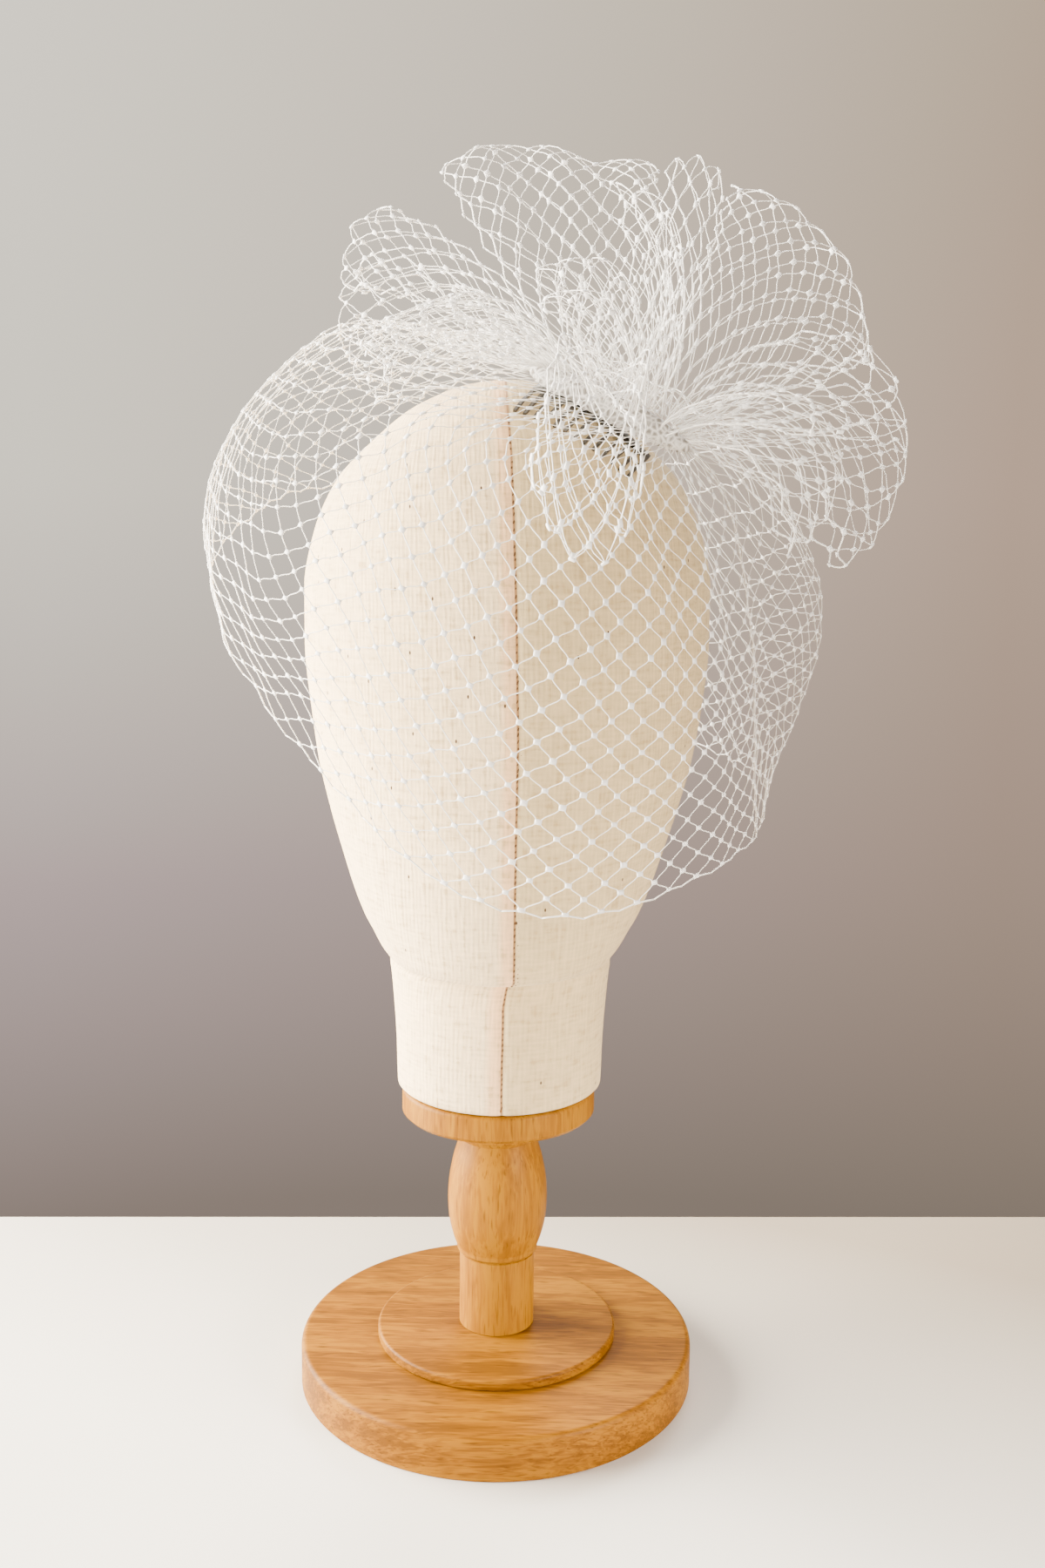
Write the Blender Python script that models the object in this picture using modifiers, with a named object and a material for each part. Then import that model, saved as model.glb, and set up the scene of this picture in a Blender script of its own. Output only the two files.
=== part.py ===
# Bridal veil of diamond netting on a linen head form with a turned wooden stand.
# All sizes below are in millimetres; meshes are written in metres.
# Origin: centre of the underside of the stand's base. X right, Y to the back, Z up.
# The net is built as a cloth-thin wall with the true shape of the net, its cells are not cut.
import bpy
import numpy as np

MM = 0.001
SEAM = 0.3            # gap left between neighbouring pieces

# stand: profiles as (radius, height), turned about Z
BASE_RADIUS = 85.0
BASE_TOP = 18.5
BASE_ROUND = 2.4
PLINTH_RADIUS = 51.8
PLINTH_TOP = 23.1
PLINTH_ROUND = 1.4
COLLAR_RADIUS = 41.1
COLLAR_LOW = 119.6
COLLAR_TOP = 131.5
COLLAR_ROUND = 2.2
POST_COLUMNS = ("radius", "height")
POST_PROFILE = [
    (16.2, 23.4), (16.2, 56.6), (17.4, 57.6), (17.6, 59.4), (19.2, 64.0), (20.8, 71.0), (21.4, 80.0),
    (20.9, 89.0), (19.3, 98.0), (17.6, 104.0), (16.6, 108.0), (18.2, 110.4), (18.2, 119.3)]

# head form: level sections from the neck's foot to the crown, about X = HEAD_X, Y = 0
HEAD_X = 2.0
HEAD_COLUMNS = ("height", "half_width", "front", "back")
NECK_SECTIONS = [
    (131.8, 40.5, 40.5, 40.5), (134.0, 43.2, 43.2, 43.2), (153.0, 43.8, 43.8, 43.8),
    (172.0, 45.0, 45.0, 45.0), (187.0, 46.6, 46.8, 46.6), (190.5, 48.0, 54.0, 47.0)]
HEAD_SECTIONS = [
    (193.0, 49.5, 66.0, 47.5), (199.0, 54.0, 75.0, 50.0), (211.0, 61.0, 80.0, 56.0), (237.0, 69.0, 85.0, 70.0),
    (262.0, 74.5, 88.0, 84.0), (293.0, 79.5, 91.0, 97.0), (320.0, 82.0, 92.5, 103.0), (342.0, 82.0, 91.0, 103.0),
    (362.0, 78.5, 87.0, 99.0), (383.0, 69.5, 78.0, 89.0), (400.0, 54.0, 62.0, 72.0), (412.0, 39.5, 46.0, 54.0),
    (419.0, 26.0, 30.0, 36.0)]
HEAD_TOP = 424.0
HEAD_LOW = 189.0
HEAD_HEART = (2.0, 5.0, 320.0)

# gathered core of the net: an ellipsoid lying along the comb, flat underneath
CORE = (40.0, -40.0, 410.0)
CORE_ALONG = (0.88, -0.18, -0.44)
CORE_OUT = (0.38, -0.42, 0.82)
CORE_HALF = (34.0, 8.0, 8.0)
CORE_FLAT = 3.0       # depth of the flat underside below the core's centre
ROOT_REACH = 0.42     # the root of a net wall stands this far off the core

# comb: a spine that follows the crown, with wire teeth towards the brow
COMB_LENGTH = (-31.0, 24.0)
COMB_TEETH = 13
COMB_TOOTH = 27.0
COMB_LIFT = 0.5
COMB_THICK = 1.8

# veil: one gathered strip of net round the head, a row for each direction round the head
# turn 0 is the front, positive turns to the right; crest, reach and rim are the points the net passes
VEIL_AXIS = (2.0, 5.0)
VEIL_COLUMNS = ("turn_deg", "crest_radius", "crest_height", "reach", "reach_height", "rim_radius", "rim_height")
VEIL = [
    (-174, 77, 446, 124, 408, 116, 388),
    (-150, 77, 446, 124, 404, 116, 386),
    (-125, 77, 446, 124, 396, 116, 382),
    (-105, 76, 445, 122, 388, 115, 369),
    (-87, 76, 440, 122, 374, 120, 350),
    (-70, 75, 431, 121, 360, 116, 322),
    (-52, 73, 419, 117, 350, 108, 293),
    (-37, 73, 410, 114, 345, 107, 275),
    (-20, 77, 402, 114, 340, 111, 252),
    (-3, 81, 397, 115, 335, 115, 235),
    (14, 86, 391, 116, 330, 118, 231),
    (30, 90, 386, 115, 330, 115, 236),
    (48, 91, 382, 106, 332, 105, 243),
    (62, 90, 382, 101, 333, 99, 247),
    (74, 93, 384, 101, 334, 98, 245),
    (88, 104, 388, 124, 336, 101, 240),
    (108, 98, 408, 128, 345, 105, 235),
    (132, 86, 428, 127, 360, 120, 247),
    (152, 79, 440, 126, 375, 124, 285),
    (174, 77, 444, 124, 395, 118, 345)]
VEIL_LIFT = 4.2       # least height of the veil's middle over the head form, to pass the comb
GATHERS = 22
GATHER_DEEP = 1.4
VEIL_WALL = 1.0
VEIL_STEPS = (110, 11)

# loops of the pouf: each runs from the core out to its tip and back
# roots are (place along the core, angle round it from the top towards the brow)
LOOP_COLUMNS = ("name", "root_from", "root_to", "tips", "opens_towards", "opening", "sag", "ripples", "ripple_deep")
LOOPS = [
    ("loop_left_rear", (-17, -58), (-30, -62),
     [(-48, 0, 493), (-60, 5, 484), (-66, 9, 470), (-64, 10, 457)], (0.25, 1.0, 0.1), 20, (0, 8, 10), 2.0, 3.0),
    ("loop_left_front", (-17, 30), (-30, 24),
     [(-18, -64, 446), (-38, -64, 440), (-49, -64, 433), (-51, -66, 421)], (0.1, 0.8, 0.6), 11, (0, 0, 8), 1.5, 1.5),
    ("loop_centre", (-15, -20), (15, -20),
     [(-30, -25, 502), (4, -20, 509), (36, -24, 503), (59, -30, 502)], (0.0, 1.0, 0.0), 26, (0, -2, 0), 3.0, 5.0),
    ("loop_rosette", (-11, 16), (13, 16),
     [(7, -74, 452), (22, -80, 457), (37, -80, 455), (48, -74, 446)], (0.0, 1.0, 0.4), 16, (0, -8, 6), 2.0, 3.0),
    ("loop_right_top", (8, -66), (19, -62),
     [(62, 8, 512), (72, 8, 513), (80, 4, 509), (86, 0, 501)], (0.35, 0.9, -0.35), 14, (2, 4, 0), 1.0, 2.0),
    ("loop_right_fan", (19, -14), (27, -14),
     [(84, -20, 498), (107, -24, 488), (128, -30, 466), (139, -40, 425)], (0.1, 1.0, 0.2), 22, (4, 0, 8), 3.0, 4.0),
    ("loop_right_mid", (23, 18), (23, 62),
     [(131, -72, 429), (143, -74, 408), (134, -77, 399), (107, -87, 398)], (-0.35, -0.5, 0.78), 12, (0, -6, 8), 1.5, 3.0),
    ("loop_right_low", (28.5, 4), (33.2, 4),
     [(155, -40, 403), (149, -48, 382), (139, -58, 363), (121, -68, 347)], (-0.06, 0.91, -0.42), 20, (8, -2, 12), 2.0, 4.0),
    ("loop_brow", (-9, 58), (12, 58),
     [(8, -114, 378), (22, -122, 358), (34, -122, 354), (49, -112, 378)], (0.1, -0.6, 0.8), 10, (0, -16, 26), 1.5, 3.0)]
LOOP_NECK = 1.2       # half the gap between a loop's two layers at its root
LOOP_WALL = 1.0
LOOP_STEPS = 16


def unit(vector):
    vector = np.asarray(vector, float)
    return vector / np.linalg.norm(vector, axis=-1, keepdims=True)


ALONG = unit(CORE_ALONG)
OUT = unit(np.array(CORE_OUT) - ALONG * (np.array(CORE_OUT) @ ALONG))
FRONT = np.cross(ALONG, OUT)


def smooth(places, values, at):
    """Value of a smooth curve through a short table."""
    places = np.asarray(places, float)
    values = np.asarray(values, float)
    at = np.clip(at, places[0], places[-1])
    row = np.clip(np.searchsorted(places, at, side="right") - 1, 0, len(places) - 2)
    slope = np.gradient(values, places)
    step = places[row + 1] - places[row]
    t = (at - places[row]) / step
    return ((2 * t**3 - 3 * t**2 + 1) * values[row] + (t**3 - 2 * t**2 + t) * step * slope[row]
            + (3 * t**2 - 2 * t**3) * values[row + 1] + (t**3 - t**2) * step * slope[row + 1])


def path(knots, t):
    """Point at share t of a smooth path through knots, shares measured by straight lengths."""
    steps = [np.linalg.norm(knots[k + 1] - knots[k], axis=-1)[..., None] for k in range(len(knots) - 1)]
    slopes = [(knots[1] - knots[0]) / steps[0]]
    for k in range(1, len(knots) - 1):
        before = (knots[k] - knots[k - 1]) / steps[k - 1]
        after = (knots[k + 1] - knots[k]) / steps[k]
        slopes.append((before * steps[k] + after * steps[k - 1]) / (steps[k] + steps[k - 1]))
    slopes.append((knots[-1] - knots[-2]) / steps[-1])
    place = t[..., None] * sum(steps)
    start = 0.0 * steps[0]
    point = knots[0] + 0.0 * place
    for k, step in enumerate(steps):
        u = np.clip((place - start) / step, 0.0, 1.0)
        piece = ((2 * u**3 - 3 * u**2 + 1) * knots[k] + (u**3 - 2 * u**2 + u) * step * slopes[k]
                 + (3 * u**2 - 2 * u**3) * knots[k + 1] + (u**3 - u**2) * step * slopes[k + 1])
        point = np.where(place >= start, piece, point)
        start = start + step
    return point


def latitude(height):
    return np.arccos(np.clip(2 * (height - HEAD_LOW) / (HEAD_TOP - HEAD_LOW) - 1, -1, 1))


def head_section(height):
    """Half width, front and back of the head form at a height."""
    rows = [(HEAD_LOW, 0.0, 0.0, 0.0)] + HEAD_SECTIONS + [(HEAD_TOP, 0.0, 0.0, 0.0)]
    table = np.array(rows[::-1], float)
    return [np.interp(latitude(height), latitude(table[:, 0]), table[:, k]) for k in (1, 2, 3)]


def head_share(points):
    """Below 1 inside the head form, above 1 outside."""
    width, front, back = head_section(points[..., 2])
    depth = np.where(points[..., 1] < 0, front, back)
    share = np.hypot((points[..., 0] - HEAD_X) / np.maximum(width, 0.001), points[..., 1] / np.maximum(depth, 0.001))
    return np.where((points[..., 2] >= HEAD_TOP) | (points[..., 2] <= HEAD_LOW), 9.0, share)


def on_head(points, lift):
    """Points moved along rays from the heart of the head form to stand lift off its surface."""
    heart = np.array(HEAD_HEART)
    ray = unit(points - heart)
    low = np.zeros(points.shape[:-1])
    high = np.full(points.shape[:-1], 260.0)
    for _ in range(30):
        middle = (low + high) / 2
        inside = head_share(heart + ray * middle[..., None]) < 1
        low = np.where(inside, middle, low)
        high = np.where(inside, high, middle)
    return heart + ray * (high + lift)[..., None]


def core_place(along, angle, reach):
    """Point off the core at a place along it and an angle round it, with the direction outwards."""
    along = np.asarray(along, float)
    around = np.radians(angle)
    length, wide, deep = CORE_HALF
    girth = np.sqrt(np.maximum(1 - (along / length)**2, 0))
    front = wide * girth * np.sin(around)
    out = deep * girth * np.cos(around)
    normal = unit((along / length**2)[..., None] * ALONG + (front / wide**2)[..., None] * FRONT
                  + (out / deep**2)[..., None] * OUT)
    point = np.array(CORE) + along[..., None] * ALONG + front[..., None] * FRONT + out[..., None] * OUT
    return point + normal * reach, normal


def veil_point(share, t):
    """Middle of the veil's wall: share runs round the head, t from the core to the rim."""
    table = np.array(VEIL, float)
    turn = table[0, 0] + share * (table[-1, 0] - table[0, 0])
    crest, crest_height, reach, reach_height, rim, rim_height = [
        smooth(table[:, 0], table[:, k], turn) for k in range(1, 7)]
    angle = np.radians(turn)
    outward = np.stack([np.sin(angle), -np.cos(angle), 0 * angle], -1)
    axis = np.array([*VEIL_AXIS, 0.0])
    up = np.array([0.0, 0.0, 1.0])
    wide = axis + outward * reach[..., None] + up * reach_height[..., None]
    top = axis + outward * crest[..., None] + up * crest_height[..., None]
    end = axis + outward * rim[..., None] + up * rim_height[..., None]
    aim = wide - np.array(CORE)
    around = np.arctan2(aim @ FRONT, aim @ ALONG)
    length, girth = CORE_HALF[0] + 2 * ROOT_REACH, CORE_HALF[1] + 2 * ROOT_REACH
    root = (np.array(CORE) + ALONG * (length * np.cos(around))[..., None]
            + FRONT * (girth * np.sin(around))[..., None] - OUT * 0.6)
    points = path([root, top, wide, end], t)
    clear = on_head(points, VEIL_LIFT)
    heart = np.array(HEAD_HEART)
    lower = np.linalg.norm(points - heart, axis=-1) < np.linalg.norm(clear - heart, axis=-1)
    return np.where((lower & (t > 0.0))[..., None], clear, points)


def veil_surface(columns, rows):
    """Grid of the veil's middle with its gathers."""
    share, t = np.meshgrid(np.linspace(0, 1, columns + 1), np.linspace(0, 1, rows + 1)**1.15, indexing="ij")
    points = veil_point(share, t)
    across = veil_point(np.clip(share + 0.002, 0, 1), t) - veil_point(np.clip(share - 0.002, 0, 1), t)
    down = veil_point(share, np.clip(t + 0.01, 0, 1)) - veil_point(share, np.clip(t - 0.01, 0, 1))
    normal = unit(np.cross(across, down))
    deep = GATHER_DEEP * np.interp(t, (0.0, 0.12, 0.3, 0.6, 1.0), (0.0, 0.8, 1.0, 0.5, 0.4))
    return points + normal * (deep * np.sin(2 * np.pi * GATHERS * share))[..., None]


def loop_point(row, across, along):
    """Middle of a loop's wall: across runs over the net's width, along from root to tip and back."""
    name, root_from, root_to, tips, opens, opening, sag, ripples, ripple_deep = row
    place = root_from[0] + (root_to[0] - root_from[0]) * across
    angle = root_from[1] + (root_to[1] - root_from[1]) * across
    root, normal = core_place(place, angle, ROOT_REACH)
    tip = path([np.array(q, float) + 0 * root for q in tips], across)
    far = np.sin(np.pi * along)**2
    opens = unit(opens) + 0 * root
    flat = unit(opens - normal * (opens * normal).sum(-1, keepdims=True))
    blend = np.clip(far * 4, 0, 1)[..., None]
    aside = unit(flat * (1 - blend) + opens * blend)
    wave = ripple_deep * np.sin(2 * np.pi * ripples * across + 0.6) * far**1.5
    width = -np.cos(np.pi * along) * (LOOP_NECK + 1.3 * opening * np.sin(np.pi * along)**2) + wave
    return (root + (tip - root) * far[..., None] + np.array(sag, float) * (4 * far * (1 - far))[..., None]
            + aside * width[..., None])


def clear_file():
    for item in list(bpy.data.objects):
        bpy.data.objects.remove(item, do_unlink=True)


def material(name, colour, roughness, metallic=0.0):
    made = bpy.data.materials.new(name)
    made.use_nodes = True
    shader = made.node_tree.nodes["Principled BSDF"]
    shader.inputs["Base Color"].default_value = (*colour, 1.0)
    shader.inputs["Roughness"].default_value = roughness
    shader.inputs["Metallic"].default_value = metallic
    return made


def add_object(name, points, faces, surface, edges=()):
    mesh = bpy.data.meshes.new(name)
    mesh.from_pydata([tuple(float(c) * MM for c in p) for p in points], list(edges), faces)
    mesh.update()
    item = bpy.data.objects.new(name, mesh)
    item.data.materials.append(surface)
    COLLECTION.objects.link(item)
    return item


def turned(name, profile, segments, surface):
    """Solid turned about Z from a profile that starts and ends on the axis."""
    points = [(0.0, 0.0, profile[0][1])] + [(r, 0.0, z) for r, z in profile] + [(0.0, 0.0, profile[-1][1])]
    item = add_object(name, points, [], surface, [(k, k + 1) for k in range(len(points) - 1)])
    turn = item.modifiers.new("turn", "SCREW")
    turn.axis = "Z"
    turn.angle = 2 * np.pi
    turn.steps = segments
    turn.render_steps = segments
    turn.use_merge_vertices = True
    turn.merge_threshold = 1e-5
    turn.use_normal_calculate = True
    return item


def rounded_edge(radius, height, size, sign):
    """Profile points of a quarter round where a disc's side meets its top or its underside."""
    angles = np.radians((0, 45, 90))
    return [(radius - size + size * np.cos(a), height - sign * (size - size * np.sin(a))) for a in angles]


def disc(name, radius, low, top, low_round, top_round, segments, surface):
    foot = rounded_edge(radius, low, low_round, -1)[::-1]
    return turned(name, foot + rounded_edge(radius, top, top_round, 1), segments, surface)


def grid_faces(columns, rows, closed=False):
    faces = []
    for i in range(columns):
        for j in range(rows):
            a = i * (rows + 1) + j
            b = ((i + 1) % columns if closed else i + 1) * (rows + 1) + j
            faces.append((a, b, b + 1, a + 1))
    return faces


def net_wall(name, grid, wall, surface):
    """Cloth-thin wall of even thickness round a grid of middle points."""
    columns, rows = grid.shape[0] - 1, grid.shape[1] - 1
    item = add_object(name, grid.reshape(-1, 3), grid_faces(columns, rows), surface)
    thick = item.modifiers.new("thickness", "SOLIDIFY")
    thick.thickness = wall * MM
    thick.offset = 0.0
    return item


def head_form(surface):
    rows = NECK_SECTIONS + HEAD_SECTIONS
    around = np.linspace(0, 2 * np.pi, 36, endpoint=False)
    points = []
    for height, half, front, back in rows:
        depth = np.where(np.sin(around) < 0, front, back)
        points += list(np.stack([HEAD_X + half * np.cos(around), depth * np.sin(around), 0 * around + height], -1))
    count = len(around)
    points += [(HEAD_X, 0.0, rows[0][0]), (HEAD_X, 0.0, HEAD_TOP)]
    foot, crown = len(points) - 2, len(points) - 1
    faces = []
    for i in range(count):
        j = (i + 1) % count
        faces.append((foot, j, i))
        faces.append((crown, (len(rows) - 1) * count + i, (len(rows) - 1) * count + j))
        for k in range(len(rows) - 1):
            faces.append((k * count + i, k * count + j, (k + 1) * count + j, (k + 1) * count + i))
    return add_object("head_form", points, faces, surface)


def gather_core(surface):
    rings = []
    for along in CORE_HALF[0] * np.cos(np.radians(np.linspace(172, 8, 13))):
        ring = []
        for angle in np.linspace(0, 360, 20, endpoint=False):
            point, normal = core_place(along, angle, 0.0)
            depth = (point - np.array(CORE)) @ OUT
            point = point - OUT * min(depth + CORE_FLAT, 0.0)
            seat = on_head(point, COMB_LIFT + COMB_THICK + 2 * SEAM)
            ring.append(seat if seat @ OUT > point @ OUT else point)
        rings.append(ring)
    points = [p for ring in rings for p in ring]
    count = 20
    faces = [tuple(range(count - 1, -1, -1)), tuple(range(len(points) - count, len(points)))]
    for k in range(len(rings) - 1):
        for i in range(count):
            j = (i + 1) % count
            faces.append((k * count + i, k * count + j, (k + 1) * count + j, (k + 1) * count + i))
    return add_object("gather_core", points, faces, surface)


def comb(surface):
    """Comb in one piece: spine sections along the crown, with a tooth on every second stretch."""
    stretches = 2 * COMB_TEETH - 1
    edges = np.linspace(COMB_LENGTH[0], COMB_LENGTH[1], stretches + 1)
    edges = edges + np.where(np.arange(len(edges)) % 2, -0.45, 0.45)
    points = []

    def crown_points(forward, lift):
        line = np.array(CORE) + edges[:, None] * ALONG + FRONT * forward
        return on_head(line, lift)

    rows = [crown_points(forward, lift) for forward, lift in
            ((-2.2, COMB_LIFT), (2.2, COMB_LIFT), (2.2, COMB_LIFT + COMB_THICK), (-2.2, COMB_LIFT + COMB_THICK))]
    for k in range(len(edges)):
        points += [row[k] for row in rows]
    faces = [(0, 1, 2, 3), tuple(4 * (len(edges) - 1) + c for c in (3, 2, 1, 0))]
    reach = (9.0, 17.0, COMB_TOOTH)
    low = [crown_points(forward, COMB_LIFT) for forward in reach]
    high = [crown_points(forward, COMB_LIFT + 1.0) for forward in reach]
    for k in range(stretches):
        a, b = 4 * k, 4 * (k + 1)
        for c in (0, 2, 3):
            d = (c + 1) % 4
            faces.append((a + c, b + c, b + d, a + d))
        ring = (a + 1, b + 1, b + 2, a + 2)
        if k % 2:
            faces.append(ring)
            continue
        for step in range(len(reach)):
            first = len(points)
            points += [low[step][k], low[step][k + 1], high[step][k + 1], high[step][k]]
            fresh = (first, first + 1, first + 2, first + 3)
            for c in range(4):
                d = (c + 1) % 4
                faces.append((ring[c], ring[d], fresh[d], fresh[c]))
            ring = fresh
        faces.append(ring)
    return add_object("comb", points, faces, surface)


clear_file()
COLLECTION = bpy.data.collections.new("bridal_veil_on_head_form_stand")
bpy.context.scene.collection.children.link(COLLECTION)

wood = material("honey_lacquered_wood", (0.58, 0.28, 0.06), 0.4)
linen = material("natural_linen", (0.80, 0.73, 0.58), 0.9)
metal = material("dark_metal", (0.12, 0.11, 0.10), 0.45, 0.8)
net = material("white_nylon_net", (0.92, 0.92, 0.93), 0.45)
net_core = material("stitched_white_net", (0.88, 0.88, 0.89), 0.6)

disc("stand_base", BASE_RADIUS, 0.0, BASE_TOP, 1.0, BASE_ROUND, 56, wood)
disc("stand_plinth", PLINTH_RADIUS, BASE_TOP + SEAM, PLINTH_TOP, 0.4, PLINTH_ROUND, 48, wood)
turned("stand_post", POST_PROFILE, 32, wood)
disc("stand_collar", COLLAR_RADIUS, COLLAR_LOW, COLLAR_TOP, COLLAR_ROUND, 0.8, 40, wood)
head_form(linen)
comb(metal)
gather_core(net_core)
net_wall("veil_net", veil_surface(*VEIL_STEPS), VEIL_WALL, net)
for loop_row in LOOPS:
    columns = max(7, round(4 * loop_row[7]))
    side, length = np.meshgrid(np.linspace(0, 1, columns + 1), np.linspace(0, 1, LOOP_STEPS + 1), indexing="ij")
    net_wall(loop_row[0], loop_point(loop_row, side, length), LOOP_WALL, net)
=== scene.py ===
# Birdcage bridal veil of knotted nylon netting with a looped pouf, on a linen head form and a wooden stand.
# Lengths in the settings are millimetres, the meshes are in metres.
import math
import bpy
import numpy as np
from mathutils import Matrix, Vector


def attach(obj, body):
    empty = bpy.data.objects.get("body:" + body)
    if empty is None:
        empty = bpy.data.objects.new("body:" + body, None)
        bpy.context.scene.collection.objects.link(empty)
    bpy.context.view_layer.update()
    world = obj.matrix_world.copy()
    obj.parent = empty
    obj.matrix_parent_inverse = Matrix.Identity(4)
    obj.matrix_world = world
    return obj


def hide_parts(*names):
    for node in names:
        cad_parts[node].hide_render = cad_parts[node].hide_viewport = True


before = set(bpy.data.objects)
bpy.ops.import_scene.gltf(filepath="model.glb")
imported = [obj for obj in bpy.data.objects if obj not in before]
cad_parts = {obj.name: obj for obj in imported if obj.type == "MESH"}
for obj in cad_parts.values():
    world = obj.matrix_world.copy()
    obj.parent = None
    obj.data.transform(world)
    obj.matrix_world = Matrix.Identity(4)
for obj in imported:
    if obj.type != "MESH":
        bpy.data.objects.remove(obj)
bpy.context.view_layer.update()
mm = 0.001
print("frame loaded:", len(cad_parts), "solids")


def linear(hexColour):  # sRGB hex to linear RGBA
    parts = [int(hexColour[k:k + 2], 16) / 255 for k in (1, 3, 5)]
    return tuple(c / 12.92 if c <= 0.04045 else ((c + 0.055) / 1.055) ** 2.4 for c in parts) + (1.0,)


def newMaterial(name):
    material = bpy.data.materials.new(name)
    material.use_nodes = True
    tree = material.node_tree
    return material, tree, tree.nodes["Principled BSDF"]


def setNode(tree, node, settings=None, links=None):  # a node's settings and its incoming links
    for key, value in (settings or {}).items():
        if key == "stops":                       # a ramp's places and colours
            while len(node.color_ramp.elements) < len(value):
                node.color_ramp.elements.new(0.5)
            for element, (place, colour) in zip(node.color_ramp.elements, value):
                element.position, element.color = place, linear(colour)
        elif isinstance(key, int) or key in node.inputs:
            isColour = isinstance(value, str) and value.startswith("#")
            node.inputs[key].default_value = linear(value) if isColour else value
        else:
            setattr(node, key, value)
    for key, source in (links or {}).items():    # a node alone stands for its first output
        tree.links.new(source.outputs[0] if isinstance(source, bpy.types.Node) else source, node.inputs[key])


def addNode(tree, kind, settings=None, links=None):
    node = tree.nodes.new("ShaderNode" + kind)
    setNode(tree, node, settings, links)
    return node


def unit(v):
    return v / np.maximum(np.linalg.norm(v, axis=-1, keepdims=True), 1e-9)


def meshPiece(name, points, faces, material):
    mesh = bpy.data.meshes.new(name)
    mesh.from_pydata((np.asarray(points) * mm).tolist(), [], faces)
    mesh.update()
    mesh.validate()
    mesh.shade_smooth()
    piece = bpy.data.objects.new(name, mesh)
    piece.data.materials.append(material)
    bpy.context.scene.collection.objects.link(piece)
    return piece


def deselectAll():
    if bpy.context.object and bpy.context.object.mode != "OBJECT":
        bpy.ops.object.mode_set(mode="OBJECT")
    bpy.ops.object.select_all(action="DESELECT")


def selectOnly(piece):
    deselectAll()
    piece.select_set(True)
    bpy.context.view_layer.objects.active = piece


def turnOutwards(piece):  # faces point outwards
    if piece.mode != "EDIT":
        selectOnly(piece)
        bpy.ops.object.mode_set(mode="EDIT")
    bpy.ops.mesh.select_all(action="SELECT")
    bpy.ops.mesh.normals_make_consistent(inside=False)
    bpy.ops.object.mode_set(mode="OBJECT")


def ownPlaces(mesh):  # a primitive's own vertex places
    flat = np.empty(len(mesh.vertices) * 3)
    mesh.vertices.foreach_get("co", flat)
    return flat.reshape(-1, 3)


def settle(piece):  # the place goes into the mesh
    selectOnly(piece)
    bpy.ops.object.transform_apply(location=True, rotation=True, scale=True)
    deselectAll()


def nylonNet():
    # white nylon thread, knotted by machine: the fine thread lets some light through, the knots are dense
    # and whiter
    material, tree, shader = newMaterial("whiteNylonKnottedNetting")
    place = addNode(tree, "TexCoord")
    cloud = addNode(tree, "TexNoise", {"Scale": 60.0, "Detail": 2.0}, {"Vector": place.outputs["Object"]})
    thread = addNode(tree, "ValToRGB", {"stops": [(0.3, "#F6F2EC"), (0.7, "#FDFAF5")]}, {"Fac": cloud})
    knot = addNode(tree, "Attribute", {"attribute_name": "knot"})
    tone = addNode(tree, "Mix", {"data_type": "RGBA", 7: "#FFFFFF"}, {0: knot.outputs["Fac"], 6: thread})
    setNode(tree, shader, {"Roughness": 0.42, "IOR": 1.53, "Subsurface Weight": 0.35,
                           "Subsurface Radius": (1.0, 1.0, 1.0), "Subsurface Scale": 0.0006,
                           "Sheen Weight": 0.3, "Sheen Roughness": 0.5}, {"Base Color": tone.outputs[2]})
    return material


# the real linen has 0.9 threads to the millimetre, too fine to show: drawn at 1.9 mm, so that it can be seen
# the right panel's colour is the left panel's linen darkened, as painted shade
linenSettings = {"pitch": 1.9, "leftPanel": "#EFD5AA", "shadedRightPanel": "#D1BA8D", "allowance": "#F0C08C",
                 "seamLine": "#80501E", "slub": "#BE9A62", "fleck": "#4E3A28",
                 "allowanceWide": 7.5, "allowanceFull": 4.0, "seamWide": 0.7, "weftShare": 0.55,
                 "fleckSize": 0.052, "fleckRarity": 0.93}


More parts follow.
